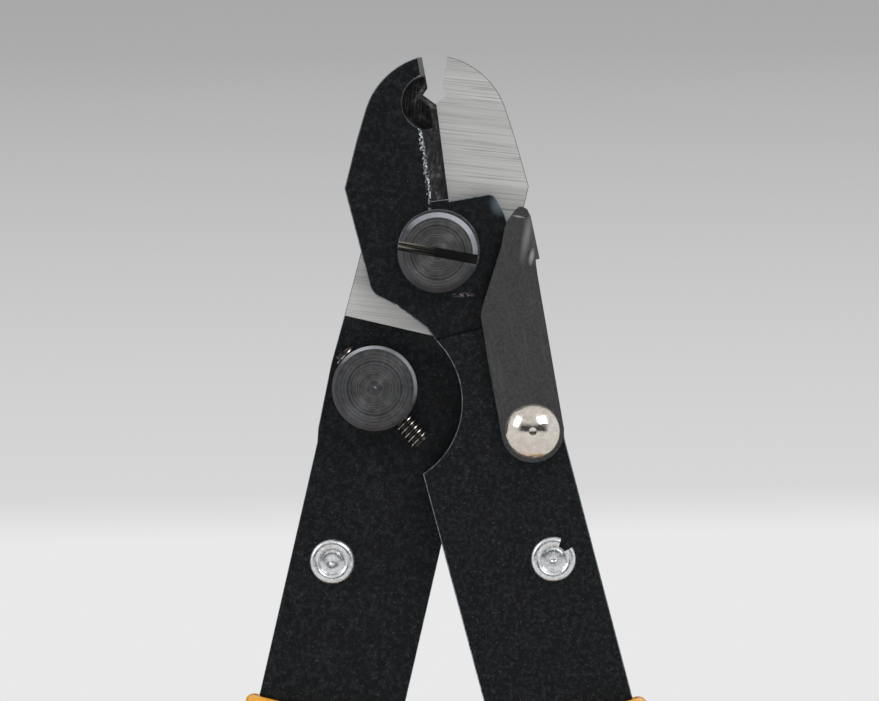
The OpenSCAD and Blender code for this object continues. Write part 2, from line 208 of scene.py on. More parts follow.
# Soft boxes: name, place, size and power
aim = Vector((0, 0, 95 * MM))
for name, spot, size, power in (
        ("key_box", (0.6, -0.75, 0.75), (0.6, 0.45), 3.4),
        ("fill_box", (-0.7, -0.45, 0.55), (0.35, 0.5), 1.4),
        ("back_box", (0.5, 0.9, 0.8), (0.6, 0.45), 0.9)):
    lamp = bpy.data.lights.new(name, "AREA")
    lamp.shape = "RECTANGLE"
    lamp.size, lamp.size_y = size
    lamp.energy = power
    holder = bpy.data.objects.new(name, lamp)
    holder.location = spot
    holder.rotation_euler = (aim - Vector(spot)).to_track_quat("-Z", "Y").to_euler()
    bpy.context.scene.collection.objects.link(holder)

lens = bpy.data.cameras.new("long_lens")
lens.sensor_width = SENSOR
lens.lens = SENSOR * CAMERA_DISTANCE / VIEW_WIDTH
camera = bpy.data.objects.new("long_lens", lens)
camera.location = (VIEW_ASIDE, -CAMERA_DISTANCE, VIEW_HEIGHT_ABOVE_TABLE)
camera.rotation_euler = (math.pi / 2, VIEW_ROLL, 0)
bpy.context.scene.collection.objects.link(camera)
bpy.context.scene.camera = camera
bpy.context.scene.view_settings.view_transform = "Standard"

# The two levers: stampings of 2.4 mm carbon steel, alike but for the front one's hollow waist,
# the back one turned round. Stamped, joggled and black-oxided, then the sliding face, the blade,
# the notch and the scoop are ground, so those show bare steel. Tumbling rubbed the outer edges.
EDGE_ROUND = 0.34
BLADE_LEAN = math.radians(7)
SCOOP_AT = Vector((-0.68, 18))
# Radius within which the scoop's faces are found, and its rim on the outer face
SCOOP_RIM = 3.6
SCOOP_EDGE = 3.44
OUTER_FACE = 2.41
BURR_WIDTH = 0.2
BURR_TEETH = 34
OXIDE, WORN, GROUND, HONED, BURR, SCOOPED = range(6)


def middle_of(node):
    low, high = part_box(node)
    return (low + high) / 2


pivot = middle_of("pivot_screw")
pivot.y = 0
# Marks on the front lever: place, half sizes, tone and how patchy. A scuff lies under the screw
# head, and the hub's upper corner has a painted highlight where its rounding catches the light.
FRONT_SCUFF_AND_HIGHLIGHT = (((3.0 * MM, 0, pivot.z - 5.1 * MM), (1.5, 0.3), 0x8C8087, 0.1),
              ((7.5 * MM, 0, pivot.z + 5.8 * MM), (1.2, 1.6), 0x5C6A71, 0.0))


def surface(name):
    """A new material's node tree, its shader, and the place on the piece in metres."""
    material = bpy.data.materials.new(name)
    material.use_nodes = True
    tree = material.node_tree
    shader = tree.nodes["Principled BSDF"]
    return material, tree, shader, add(tree, "TexCoord").outputs["Object"]


def join(tree, shader, **links):
    """Links outputs to the shader's sockets; an underscore in a name stands for a space."""
    for name, output in links.items():
        tree.links.new(output_of(output), shader.inputs[name.replace("_", " ")])


def grains(tree, place, size, detail=2.0, turn=0.0, centre=(0, 0, 0)):
    """Noise whose grain has the given size in millimetres, one number or three."""
    spread = size if isinstance(size, tuple) else (size, size, size)
    grid = add(tree, "Mapping", {"Vector": place, "Location": centre, "Rotation": (0, turn, 0),
                                 "Scale": [length * MM for length in spread]}, vector_type="TEXTURE")
    return add(tree, "TexNoise", {"Vector": grid.outputs[0], "Scale": 1.0, "Detail": detail,
                                  "Roughness": 0.6}).outputs["Fac"]


def scuff_or_painted_highlight(tree, place, colour, at, half_sizes, tone, turn=0.0, patchy=0.0):
    """The colour, changed to a tone in a soft oval with two half sizes in millimetres: used for a scuff and for
    painted highlights.
    """
    spot = add(tree, "Mapping", {"Vector": place, "Location": at, "Rotation": (0, turn, 0),
                                 "Scale": (half_sizes[0] * MM, 1, half_sizes[1] * MM)},
               vector_type="TEXTURE").outputs[0]
    reach = add(tree, "VectorMath", {0: spot}, operation="LENGTH").outputs["Value"]
    rub = add(tree, "MapRange", {"Value": reach, "From Min": 1.1, "From Max": 0.2})
    if patchy:
        patches = add(tree, "MapRange", {"Value": grains(tree, place, 0.25), "From Min": 0.5 - patchy,
                                         "From Max": 0.5 + patchy})
        rub = add(tree, "Math", {0: rub, 1: patches}, operation="MULTIPLY").outputs[0]
    return add(tree, "Mix", {"Factor": rub, "A": colour, "B": linear(tone)}, data_type="RGBA")


def black_oxide(name, scuffs_and_highlights=()):
    """Hot-blacked steel: a thin magnetite skin, so it is near black, slightly blue and satin,
    with pale flecks where the stamped grain stands proud."""
    material, tree, shader, place = surface(name)
    clouds = grains(tree, place, 3.5, 3)
    hue = add(tree, "ValToRGB", {0: clouds},
              stops=((0.3, linear(0x04090A)), (0.5, linear(0x070A0D)), (0.72, linear(0x0E0B0F))))
    mottle = grains(tree, place, 0.55, 4)
    share = add(tree, "MapRange", {"Value": mottle, "From Min": 0.46, "From Max": 0.74})
    colour = add(tree, "Mix", {"Factor": share, "A": hue, "B": linear(0x23282B)}, data_type="RGBA")
    flecks = grains(tree, place, 0.24, 2)
    share = add(tree, "MapRange", {"Value": flecks, "From Min": 0.6, "From Max": 0.76, "To Min": 0,
                                   "To Max": 0.5})
    colour = add(tree, "Mix", {"Factor": share, "A": colour, "B": linear(0x565B5E)}, data_type="RGBA")
    # Scuffs, and painted highlights where a rounded corner catches the light, each in a soft oval
    for at, half_sizes, tone, patchy in scuffs_and_highlights:
        colour = scuff_or_painted_highlight(tree, place, colour, at, half_sizes, tone, 0, patchy)
    rough = add(tree, "MapRange", {"Value": grains(tree, place, 1.2, 3), "From Min": 0.3,
                                   "From Max": 0.7, "To Min": 0.36, "To Max": 0.5})
    join(tree, shader, Base_Color=colour, Roughness=rough,
         Normal=add(tree, "Bump", {"Height": mottle, "Distance": 0.006 * MM}))
    shader.inputs["Specular IOR Level"].default_value = 0.2
    return material


def worn_oxide():
    """Oxide rubbed thin on tumbled edges: dark blue-grey with streaks of bare steel."""
    material, tree, shader, place = surface("worn_oxide_steel")
    rub = add(tree, "MapRange", {"Value": grains(tree, place, 0.6, 4), "From Min": 0.34, "From Max": 0.62})
    join(tree, shader,
         Base_Color=add(tree, "Mix", {"Factor": rub, "A": linear(0x3A4247), "B": linear(0xA3AEB6)},
                        data_type="RGBA"),
         Metallic=add(tree, "MapRange", {"Value": rub, "From Min": 0, "From Max": 1, "To Min": 0.5,
                                         "To Max": 1}),
         Roughness=add(tree, "MapRange", {"Value": rub, "From Min": 0, "From Max": 1, "To Min": 0.36,
                                          "To Max": 0.26}))
    return material


def ground_steel(name, lean):
    """Flat-ground carbon steel: grey-white metal with long grinding lines square to the blade,
    which spread what it mirrors up and down. Lines finer than 0.1 mm are drawn at 0.12 mm."""
    material, tree, shader, place = surface(name)
    fine = grains(tree, place, (30, 30, 0.13), 2, lean)
    broad = grains(tree, place, (60, 60, 2.2), 3, lean)
    cuts = grains(tree, place, (20, 20, 0.26), 3, lean, (3 * MM, 0, 5 * MM))
    colour = add(tree, "ValToRGB", {0: broad}, stops=((0.3, linear(0xCFCFCD)), (0.7, linear(0xEEEDEB))))
    share = add(tree, "MapRange", {"Value": fine, "From Min": 0.5, "From Max": 0.66, "To Min": 0,
                                   "To Max": 0.42})
    colour = add(tree, "Mix", {"Factor": share, "A": colour, "B": linear(0x8E8E90)}, data_type="RGBA")
    share = add(tree, "MapRange", {"Value": cuts, "From Min": 0.6, "From Max": 0.66, "To Min": 0,
                                   "To Max": 0.6})
    colour = add(tree, "Mix", {"Factor": share, "A": colour, "B": linear(0x88888B)}, data_type="RGBA")
    join(tree, shader, Base_Color=colour,
         Normal=add(tree, "Bump", {"Height": fine, "Distance": 0.003 * MM}),
         Roughness=add(tree, "MapRange", {"Value": broad, "From Min": 0.3, "From Max": 0.7,
                                          "To Min": 0.4, "To Max": 0.46}))
    shader.inputs["Metallic"].default_value = 0.7
    return material


def honed_steel(lean):
    """Honed bevel: bare steel polished along the edge in streaks. Its colour is painted reflection of the dim
    room: dark, with paler soft streaks.
    """
    material, tree, shader, place = surface("honed_steel")
    streaks = grains(tree, place, (0.16, 0.16, 7), 3, -lean)
    blotches = grains(tree, place, 0.9, 4)
    colour = add(tree, "ValToRGB", {0: blotches},
                 stops=((0.3, linear(0x222223)), (0.55, linear(0x363638)), (0.72, linear(0x6A6B6E))))
    share = add(tree, "MapRange", {"Value": streaks, "From Min": 0.6, "From Max": 0.72, "To Min": 0,
                                   "To Max": 0.4})
    colour = add(tree, "Mix", {"Factor": share, "A": colour, "B": linear(0x9C9EA0)}, data_type="RGBA")
    join(tree, shader, Base_Color=colour,
         Normal=add(tree, "Bump", {"Height": streaks, "Distance": 0.005 * MM}),
         Roughness=add(tree, "MapRange", {"Value": streaks, "From Min": 0.35, "From Max": 0.65,
                                          "To Min": 0.2, "To Max": 0.34}))
    shader.inputs["Metallic"].default_value = 1.0
    return material


def torn_steel():
    """Burr left by the bevel's wheel: small torn facets of bright bare steel."""
    material, tree, shader, place = surface("torn_steel_burr")
    flakes = grains(tree, place, 0.3, 3)
    join(tree, shader,
         Base_Color=add(tree, "ValToRGB", {0: flakes},
                        stops=((0.42, linear(0x1E2022)), (0.5, linear(0x8E9397)),
                               (0.62, linear(0xE4E8EA)))),
         Normal=add(tree, "Bump", {"Height": flakes, "Distance": 0.02 * MM}))
    shader.inputs["Metallic"].default_value = 0.9
    shader.inputs["Roughness"].default_value = 0.3
    return material


def from_axis(tree, place, centre):
    """Distance from an axis along Y, in millimetres."""
    spot = add(tree, "Mapping", {"Vector": place, "Location": (centre.x, 0, centre.z),
                                 "Scale": (MM, 1e6, MM)}, vector_type="TEXTURE").outputs[0]
    return add(tree, "VectorMath", {0: spot}, operation="LENGTH").outputs["Value"]


def scooped_steel(centre):
    """Wall of the scoop, cut by a small wheel: dark steel with rings round its axis, and a bright
    line where it breaks through the oxide."""
    material, tree, shader, place = surface("scooped_steel")
    marks = grains(tree, place, (4, 0.16, 4), 3)
    reach = from_axis(tree, place, centre)
    hue = add(tree, "ValToRGB", {0: marks}, stops=((0.35, linear(0x3E3F42)), (0.65, linear(0x68696D))))
    share = add(tree, "MapRange", {"Value": reach, "From Min": SCOOP_EDGE - 0.17,
                                   "From Max": SCOOP_EDGE - 0.09})
    hue = add(tree, "Mix", {"Factor": share, "A": hue, "B": linear(0xE2E5E7)}, data_type="RGBA")
    join(tree, shader, Base_Color=hue,
         Normal=add(tree, "Bump", {"Height": marks, "Distance": 0.006 * MM}))
    shader.inputs["Metallic"].default_value = 1.0
    shader.inputs["Roughness"].default_value = 0.3
    return material


def merged_copy(node):
    """A CAD node's mesh with its loose triangles merged into whole flat faces."""
    shape = bmesh.new()
    shape.from_mesh(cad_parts[node].data)
    bmesh.ops.remove_doubles(shape, verts=shape.verts[:], dist=0.002 * MM)
    bmesh.ops.dissolve_limit(shape, angle_limit=math.radians(1), verts=shape.verts[:],
                             edges=shape.edges[:])
    return shape


def lever_finish(face, into_blank):
    """Which finish a face of the stamping has, told by its place as the front lever lies."""
    spot = into_blank @ face.calc_center_median() / MM
    facing = into_blank.to_3x3() @ face.normal
    if facing.y > 0.99 and abs(spot.y) < 0.05:
        return GROUND
    in_scoop = (Vector((spot.x, spot.z)) - SCOOP_AT).length < SCOOP_RIM
    if in_scoop and -OUTER_FACE + 0.02 < spot.y < -0.3 and facing.x > 0.3 and facing.y > -0.6:
        return SCOOPED
    if in_scoop and spot.y > -OUTER_FACE + 0.02:
        return HONED
    if facing.x > 0.3 and facing.y < -0.3 and 5 < spot.z < 25:
        return HONED
    return OXIDE


def tear_burr(shape, into_blank, seed):
    """Breaks the line between the blade's bevel and the outer face into small torn facets."""
    line = [edge for edge in shape.edges if edge.calc_length() > 5 * MM
            and {face.material_index for face in edge.link_faces} == {OXIDE, HONED}
            and all((into_blank @ vert.co).y < -2 * MM for vert in edge.verts)]
    strip = bmesh.ops.bevel(shape, geom=line, offset=BURR_WIDTH * MM, segments=2, profile=0.5,
                            affect="EDGES", material=-1)["faces"]
    for face in strip:
        face.material_index = BURR
    along = [edge for edge in shape.edges if edge.calc_length() > 5 * MM
             and any(face.material_index == BURR for face in edge.link_faces)]
    bmesh.ops.subdivide_edges(shape, edges=along, cuts=BURR_TEETH, use_grid_fill=True)
    draw = random.Random(seed)
    for vert in shape.verts:
        near = {face.material_index for face in vert.link_faces}
        if BURR not in near or any(edge.calc_length() > 3 * MM for edge in vert.link_edges):
            continue
        slip = Vector((draw.uniform(-0.22, 0.12), 0, draw.uniform(-0.1, 0.1)))
        if near == {BURR}:
            slip.y = draw.uniform(-0.12, 0.12)
        elif HONED in near:
            slip = Vector((-0.69, 0, 0)) * draw.uniform(-0.2, 0.1) + Vector((0, 0, slip.z))
            slip.y = -slip.x * OUTER_FACE / 2.3
        vert.co += into_blank.to_3x3().inverted() @ (slip * MM)


for lever, body, turn, seed, scuffs_and_highlights in (
        ("front_lever", "front_handle", 0, 5, FRONT_SCUFF_AND_HIGHLIGHT), ("back_lever", "back_handle", math.pi, 8, ())):
    into_blank = Matrix.Rotation(turn, 4, "Z") @ Matrix.Translation(-pivot)
    scoop_middle = Vector((SCOOP_AT.x * MM, 0, SCOOP_AT.y * MM))
    steel = merged_copy(lever)
    for face in steel.faces:
        face.material_index = lever_finish(face, into_blank)
    tear_burr(steel, into_blank, seed)
    holes = [Vector((middle_of(pin).x, middle_of(pin).z)) for pin in ("pivot_screw", "stop_barrel", "lock_rivet",
                                                                 "left_spring_post",
                                                                 "right_spring_post")]
    rims = []
    for edge in steel.edges:
        kinds = {face.material_index for face in edge.link_faces}
        middle = (edge.verts[0].co + edge.verts[1].co) / 2
        in_hole = any((Vector((middle.x, middle.z)) - hole).length < 3.1 * MM for hole in holes)
        outer = kinds in ({OXIDE}, {OXIDE, GROUND}) and edge.calc_face_angle(0) >= math.radians(40)
        if outer and not in_hole and any(abs(face.normal.y) < 0.1 for face in edge.link_faces):
            rims.append(edge)
    rounded = bmesh.ops.bevel(steel, geom=rims, offset=EDGE_ROUND * MM, segments=2, profile=0.5,
                              affect="EDGES", material=-1, clamp_overlap=True)
    for face in rounded["faces"]:
        by_land = abs((into_blank @ face.calc_center_median()).y) < EDGE_ROUND * MM
        face.material_index = OXIDE if by_land else WORN
    for edge in steel.edges:
        kinds = {face.material_index for face in edge.link_faces}
        if WORN not in kinds and edge.calc_face_angle(0) > math.radians(18) or BURR in kinds:
            edge.smooth = False
    lean = BLADE_LEAN if turn else -BLADE_LEAN
    piece = new_piece(lever + "_steel", steel,
                      [black_oxide("black_oxide_" + lever, scuffs_and_highlights), worn_oxide(),
                       ground_steel("ground_steel_" + lever, lean), honed_steel(lean), torn_steel(),
                       scooped_steel(into_blank.inverted() @ scoop_middle)], crease=42)
    piece.modifiers.new("flat_faces_stay_flat", "WEIGHTED_NORMAL").keep_sharp = True
    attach(piece, body)
    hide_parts(lever)

# The pivot: a slotted screw, turned and chemically blackened, held fast in the back lever, with
# a thin spring washer under its head that has slipped up as far as its bore lets it. Behind, a
# round nut is the spring's core. Facing left fine rings, and the chamfer has a painted highlight
# on its upper right, towards the light.
HEAD_PROFILE = ((0, 4.86), (0.25, 4.91), (1.3, 4.91), (1.36, 4.88), (1.42, 4.91), (2.6, 4.91),
                (2.66, 4.885), (2.72, 4.91), (4.2, 4.91))
SLOT_TURN = math.radians(11.2)
SLOT_WIDTH = 1.15
SLOT_DEPTH = 1.1
WASHER_SLIP = Vector((0.13 * MM, 0, 0.28 * MM))
# Direction of the painted highlight on turned chamfers, towards the light at the upper right
LIT_SIDE = (math.cos(math.radians(60)), 0, math.sin(math.radians(60)))
FACED, PAINTED_LIT, SUNK = range(3)


def facing(centre, turn=0.0):
    """Matrix from a piece drawn in millimetres along +Z to its place, looking forwards."""
    return (Matrix.Translation((centre.x, 0, centre.z)) @ Matrix.Rotation(math.pi / 2, 4, "X")
            @ Matrix.Rotation(turn, 4, "Z") @ Matrix.Scale(MM, 4))


def turned(profile, steps=128):
    """Turns a profile of (radius, height, finish) in millimetres on a lathe, round +Z."""
    shape = bmesh.new()
    points = [shape.verts.new((radius, 0, height)) for radius, height, finish in profile]
    cuts = [shape.edges.new(pair) for pair in zip(points, points[1:])]
    bmesh.ops.spin(shape, geom=points + cuts, cent=(0, 0, 0), axis=(0, 0, 1), angle=2 * math.pi,
                   steps=steps, use_merge=True)
    bmesh.ops.remove_doubles(shape, verts=shape.verts[:], dist=0.0005)
    bmesh.ops.recalc_face_normals(shape, faces=shape.faces[:])
    spans = [(Vector((start[0] + end[0], start[1] + end[1])) / 2, start[2])
             for start, end in zip(profile, profile[1:])]
    for face in shape.faces:
        radii = [vert.co.xy.length for vert in face.verts]
        heights = [vert.co.z for vert in face.verts]
        spot = Vector((min(radii) + max(radii), min(heights) + max(heights))) / 2
        face.material_index = min(spans, key=lambda span: (span[0] - spot).length)[1]
    return shape


def block(low, high, finish=0):
    """A box between two corners."""
    shape = bmesh.new()
    bmesh.ops.create_cube(shape, size=1)
    low, high = Vector(low), Vector(high)
    bmesh.ops.scale(shape, vec=high - low, verts=shape.verts[:])
    bmesh.ops.translate(shape, vec=(low + high) / 2, verts=shape.verts[:])
    for face in shape.faces:
        face.material_index = finish
    return shape


def carved(shape, tools, materials):
    """The closed shape with each closed tool's space cut out of it."""
    for tool in tools:
        blank = new_piece("blank", shape, materials)
        cutter = new_piece("cutter", tool, materials)
        cut = blank.modifiers.new("cut", "BOOLEAN")
        cut.operation = "DIFFERENCE"
        cut.solver = "EXACT"
        cut.object = cutter
        bpy.context.view_layer.update()
        shape = bmesh.new()
        shape.from_object(blank, bpy.context.evaluated_depsgraph_get())
        for used in (blank, cutter):
            mesh = used.data
            bpy.data.objects.remove(used)
            bpy.data.meshes.remove(mesh)
    return shape


def broken_edges(piece, width):
    """Takes the sharpness off a piece's edges by a width in millimetres."""
    edge = piece.modifiers.new("broken_edges", "BEVEL")
    edge.width = width * MM
    edge.segments = 2
    edge.limit_method = "ANGLE"
    edge.angle_limit = math.radians(32)
    edge.harden_normals = True


def rings(tree, radius, size, detail=2.0):
    """Noise in rings round an axis, with the given spacing in millimetres."""
    step = add(tree, "Math", {0: radius, 1: size}, operation="DIVIDE").outputs[0]
    return add(tree, "TexNoise", {"W": step, "Scale": 1.0, "Detail": detail, "Roughness": 0.6},
               noise_dimensions="1D").outputs["Fac"]


def outwards(tree, place, centre):
    """Direction away from an axis along Y."""
    spot = add(tree, "VectorMath", {0: place, 1: (centre.x, 0, centre.z)}, operation="SUBTRACT")
    flat = add(tree, "VectorMath", {0: spot.outputs[0], 1: (1, 0, 1)}, operation="MULTIPLY")
    return add(tree, "VectorMath", {0: flat.outputs[0]}, operation="NORMALIZE").outputs[0]


def blacked_steel(name, centre, dark, pale):
    """Turned steel, chemically blackened: dark grey and half metallic, with fine tool rings that
    draw its highlight into a bow tie. Rings of 0.05 mm are drawn at 0.14 mm."""
    material, tree, shader, place = surface(name)
    radius = from_axis(tree, place, centre)
    fine = rings(tree, radius, 0.14)
    broad = rings(tree, radius, 0.42, 1)
    cloud = grains(tree, place, 0.9, 4)
    hue = add(tree, "ValToRGB", {0: cloud}, stops=((0.3, linear(dark)), (0.7, linear(pale))))
    share = add(tree, "MapRange", {"Value": broad, "From Min": 0.5, "From Max": 0.7, "To Min": 0,
                                   "To Max": 0.5})
    hue = add(tree, "Mix", {"Factor": share, "A": hue, "B": linear(0x232325)}, data_type="RGBA")
    share = add(tree, "MapRange", {"Value": fine, "From Min": 0.54, "From Max": 0.7, "To Min": 0,
                                   "To Max": 0.4})
    hue = add(tree, "Mix", {"Factor": share, "A": hue, "B": linear(0x8E8F92)}, data_type="RGBA")
    join(tree, shader, Base_Color=hue,
         Normal=add(tree, "Bump", {"Height": fine, "Distance": 0.003 * MM,
                                   "Normal": add(tree, "Bump", {"Height": broad, "Distance": 0.004 * MM})}),
         Roughness=add(tree, "MapRange", {"Value": cloud, "From Min": 0.3, "From Max": 0.7,
                                          "To Min": 0.4, "To Max": 0.5}),
         Tangent=outwards(tree, place, centre))
    shader.inputs["Metallic"].default_value = 0.7
    shader.inputs["Anisotropic"].default_value = 0.85
    return material


def chamfer_with_painted_highlight(name, centre):
    """Turned edge, chemically blackened, with a painted highlight on its upper right, the side towards
    the light: bright there, and dark grey round the rest."""
    material, tree, shader, place = surface(name)
    # Painted highlight: brightest where the chamfer faces the upper right, towards the light
    toward = add(tree, "VectorMath", {0: outwards(tree, place, centre), 1: LIT_SIDE},
                 operation="DOT_PRODUCT").outputs["Value"]
    left = add(tree, "MapRange", {"Value": grains(tree, place, 0.7, 3), "From Min": 0.3,
                                  "From Max": 0.7, "To Min": 0.85, "To Max": 1.1})
    rub = add(tree, "Math", {0: add(tree, "MapRange", {"Value": toward, "From Min": 0.1, "From Max": 0.62}),
                             1: left}, operation="MULTIPLY").outputs[0]
    ring = rings(tree, from_axis(tree, place, centre), 0.16)
    join(tree, shader,
         Base_Color=add(tree, "Mix", {"Factor": rub, "A": linear(0x505054), "B": linear(0xB9BDC3)},
                        data_type="RGBA"),
         Normal=add(tree, "Bump", {"Height": ring, "Distance": 0.003 * MM}))
    shader.inputs["Metallic"].default_value = 1.0
    shader.inputs["Roughness"].default_value = 0.34
    return material


def sunk_steel():
    """Sawn floor and walls of a slot, blackened: nearly black, with the saw's lines worn bright
    towards the end where a driver slipped."""
    material, tree, shader, place = surface("sawn_black_steel")
    saw = grains(tree, place, (9, 0.2, 0.2), 2, SLOT_TURN)
    along = add(tree, "VectorMath", {0: place, 1: (math.cos(SLOT_TURN), 0, -math.sin(SLOT_TURN))},
                operation="DOT_PRODUCT").outputs["Value"]
    start = pivot.x * math.cos(SLOT_TURN) - pivot.z * math.sin(SLOT_TURN)
    worn = add(tree, "MapRange", {"Value": along, "From Min": start - 0.2 * MM,
                                  "From Max": start - 3.6 * MM})
    bright = add(tree, "Math", {0: add(tree, "MapRange", {"Value": saw, "From Min": 0.47, "From Max": 0.6}),
                                1: worn}, operation="MULTIPLY").outputs[0]
    hue = add(tree, "ValToRGB", {0: saw}, stops=((0.35, linear(0x08080A)), (0.7, linear(0x1C1C1E))))
    join(tree, shader,
         Base_Color=add(tree, "Mix", {"Factor": bright, "A": hue, "B": linear(0xB4B1A6)},
                        data_type="RGBA"),
         Normal=add(tree, "Bump", {"Height": saw, "Distance": 0.006 * MM}))
    shader.inputs["Metallic"].default_value = 0.5
    shader.inputs["Roughness"].default_value = 0.4
    return material


head = ([(radius, height, FACED) for radius, height in HEAD_PROFILE[:-1]]
        + [(4.2, 4.91, PAINTED_LIT), (4.8, 4.31, FACED), (4.8, 2.81, FACED), (3.0, 2.81, FACED),
           (3.0, -2.41, FACED), (2.5, -2.41, FACED), (2.5, -5.81, FACED), (2.2, -6.11, FACED),
           (0, -6.11, FACED)])
finish = [blacked_steel("blacked_pivot_screw", pivot, 0x3E3E3E, 0x5A5A5B),
          chamfer_with_painted_highlight("pivot_chamfer_painted_highlight", pivot), sunk_steel()]
slot = block((-6, -SLOT_WIDTH / 2, 4.91 - SLOT_DEPTH), (6, SLOT_WIDTH / 2, 6), SUNK)
bmesh.ops.rotate(slot, cent=(0, 0, 0), matrix=Matrix.Rotation(-SLOT_TURN, 3, "Z"), verts=slot.verts[:])
screw = carved(turned(head), [slot], finish)
screw.transform(facing(pivot))
piece = new_piece("slotted_pivot_screw", screw, finish)
broken_edges(piece, 0.05)
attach(piece, "back_handle")
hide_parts("pivot_screw")


def spring_strip(name, dark, pale):
    """Cold-rolled spring steel, slightly blue, blanked and tumbled."""
    material, tree, shader, place = surface(name)
    roll = grains(tree, place, (5, 5, 0.15), 3)
    join(tree, shader,
         Base_Color=add(tree, "ValToRGB", {0: roll}, stops=((0.3, linear(dark)), (0.7, linear(pale)))),
         Normal=add(tree, "Bump", {"Height": roll, "Distance": 0.003 * MM}))
    shader.inputs["Metallic"].default_value = 1.0
    shader.inputs["Roughness"].default_value = 0.3
    return material


washer = turned([(3.35, 2.42, 0), (4.88, 2.42, 0), (4.93, 2.47, 0), (4.93, 2.76, 0), (4.88, 2.8, 0),
                 (3.35, 2.8, 0), (3.35, 2.42, 0)])
washer.transform(facing(pivot + WASHER_SLIP))
piece = new_piece("slipped_washer", washer, [spring_strip("rolled_spring_steel", 0x55585D, 0x85888D)])
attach(piece, "back_handle")
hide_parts("pivot_washer")

finish = [blacked_steel("blacked_pivot_nut", pivot, 0x2E2E30, 0x4A4A4C),
          chamfer_with_painted_highlight("nut_rim_painted_highlight", pivot)]
nut = turned([(2.52, -2.41, 0), (4.0, -2.41, 0), (4.0, -5.66, 0), (6.0, -5.66, 0), (6.0, -5.96, 1),
              (5.72, -6.11, 0), (2.8, -6.11, 1), (2.52, -5.9, 0), (2.52, -2.41, 0)])
notches = [block((side * 4.7 - 1.4, -0.6, -7), (side * 4.7 + 1.4, 0.6, -5.4)) for side in (-1, 1)]
nut = carved(nut, notches, finish)
nut.transform(facing(pivot))
piece = new_piece("two_slot_nut", nut, finish)
broken_edges(piece, 0.06)
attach(piece, "back_handle")
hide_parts("pivot_nut")

# The stop: a turned post riveted into the back lever and bored across, with a headless number 4
# screw through it. Where its tip meets the front lever's waist, the notches stop closing.
POST_R = 5.1
STOP_LEVEL = 2.01
STOP_SLOPE = math.radians(49.8)
SCREW_ENDS = (-5.85, 8.62)
CREST_R = 1.42
ROOT_R = 1.06
PITCH = 0.635
POST_FACE = ((0, 4.3), (0.16, 4.3), (0.26, 4.4), (1.85, 4.4), (1.9, 4.38), (1.95, 4.4), (4.72, 4.4))


def rolled_thread(start, end):
    """A screw thread along +Z in millimetres, with its ends tapered and closed."""
    shape = bmesh.new()
    outline = []
    height = start - 2 * PITCH
    while height < end + PITCH:
        outline += [(CREST_R, height), (CREST_R, height + 0.2 * PITCH),
                    (ROOT_R, height + 0.5 * PITCH), (ROOT_R, height + 0.7 * PITCH)]
        height += PITCH
    outline.append((CREST_R, height))
    points = [shape.verts.new((radius, 0, along)) for radius, along in outline]
    flanks = [shape.edges.new(pair) for pair in zip(points, points[1:])]
    steps = 40
    bmesh.ops.spin(shape, geom=points + flanks, cent=(0, 0, 0), axis=(0, 0, 1),
                   dvec=(0, 0, PITCH / steps), angle=2 * math.pi, steps=steps)
    bmesh.ops.remove_doubles(shape, verts=shape.verts[:], dist=0.002)
    for cut, away in ((start, -1), (end, 1)):
        bmesh.ops.bisect_plane(shape, geom=shape.verts[:] + shape.edges[:] + shape.faces[:],
                               plane_co=(0, 0, cut), plane_no=(0, 0, away), clear_outer=True)
    bmesh.ops.holes_fill(shape, edges=[edge for edge in shape.edges if edge.is_boundary], sides=0)
    for vert in shape.verts:
        taper = max(0.0, 0.4 - min(vert.co.z - start, end - vert.co.z))
        reach = min(1, (CREST_R - taper) / max(vert.co.xy.length, 0.01))
        vert.co.xy *= reach
    bmesh.ops.recalc_face_normals(shape, faces=shape.faces[:])
    for face in shape.faces:
        face.material_index = all(vert.co.xy.length > CREST_R - 0.02 for vert in face.verts)
    return shape


def screw_black():
    """Black oxide on a rolled thread: dark flanks with a soft sheen."""
    material, tree, shader, place = surface("black_screw_thread")
    join(tree, shader,
         Base_Color=add(tree, "ValToRGB", {0: grains(tree, place, 0.4, 3)},
                        stops=((0.35, linear(0x1B1B1D)), (0.7, linear(0x3A3936)))))
    shader.inputs["Metallic"].default_value = 0.5
    shader.inputs["Roughness"].default_value = 0.32
    return material


def rubbed_crest():
    """Crests of the thread, rubbed to a warm bare steel in places."""
    material, tree, shader, place = surface("rubbed_screw_crest")
    rub = add(tree, "MapRange", {"Value": grains(tree, place, 0.6, 3), "From Min": 0.35, "From Max": 0.6})
    hue = add(tree, "ValToRGB", {0: grains(tree, place, 0.8, 2)},
              stops=((0.35, linear(0x8F8068)), (0.65, linear(0xC9C4C4))))
    join(tree, shader,
         Base_Color=add(tree, "Mix", {"Factor": rub, "A": linear(0x4C4A47), "B": hue}, data_type="RGBA"))
    shader.inputs["Metallic"].default_value = 1.0
    shader.inputs["Roughness"].default_value = 0.25
    return material


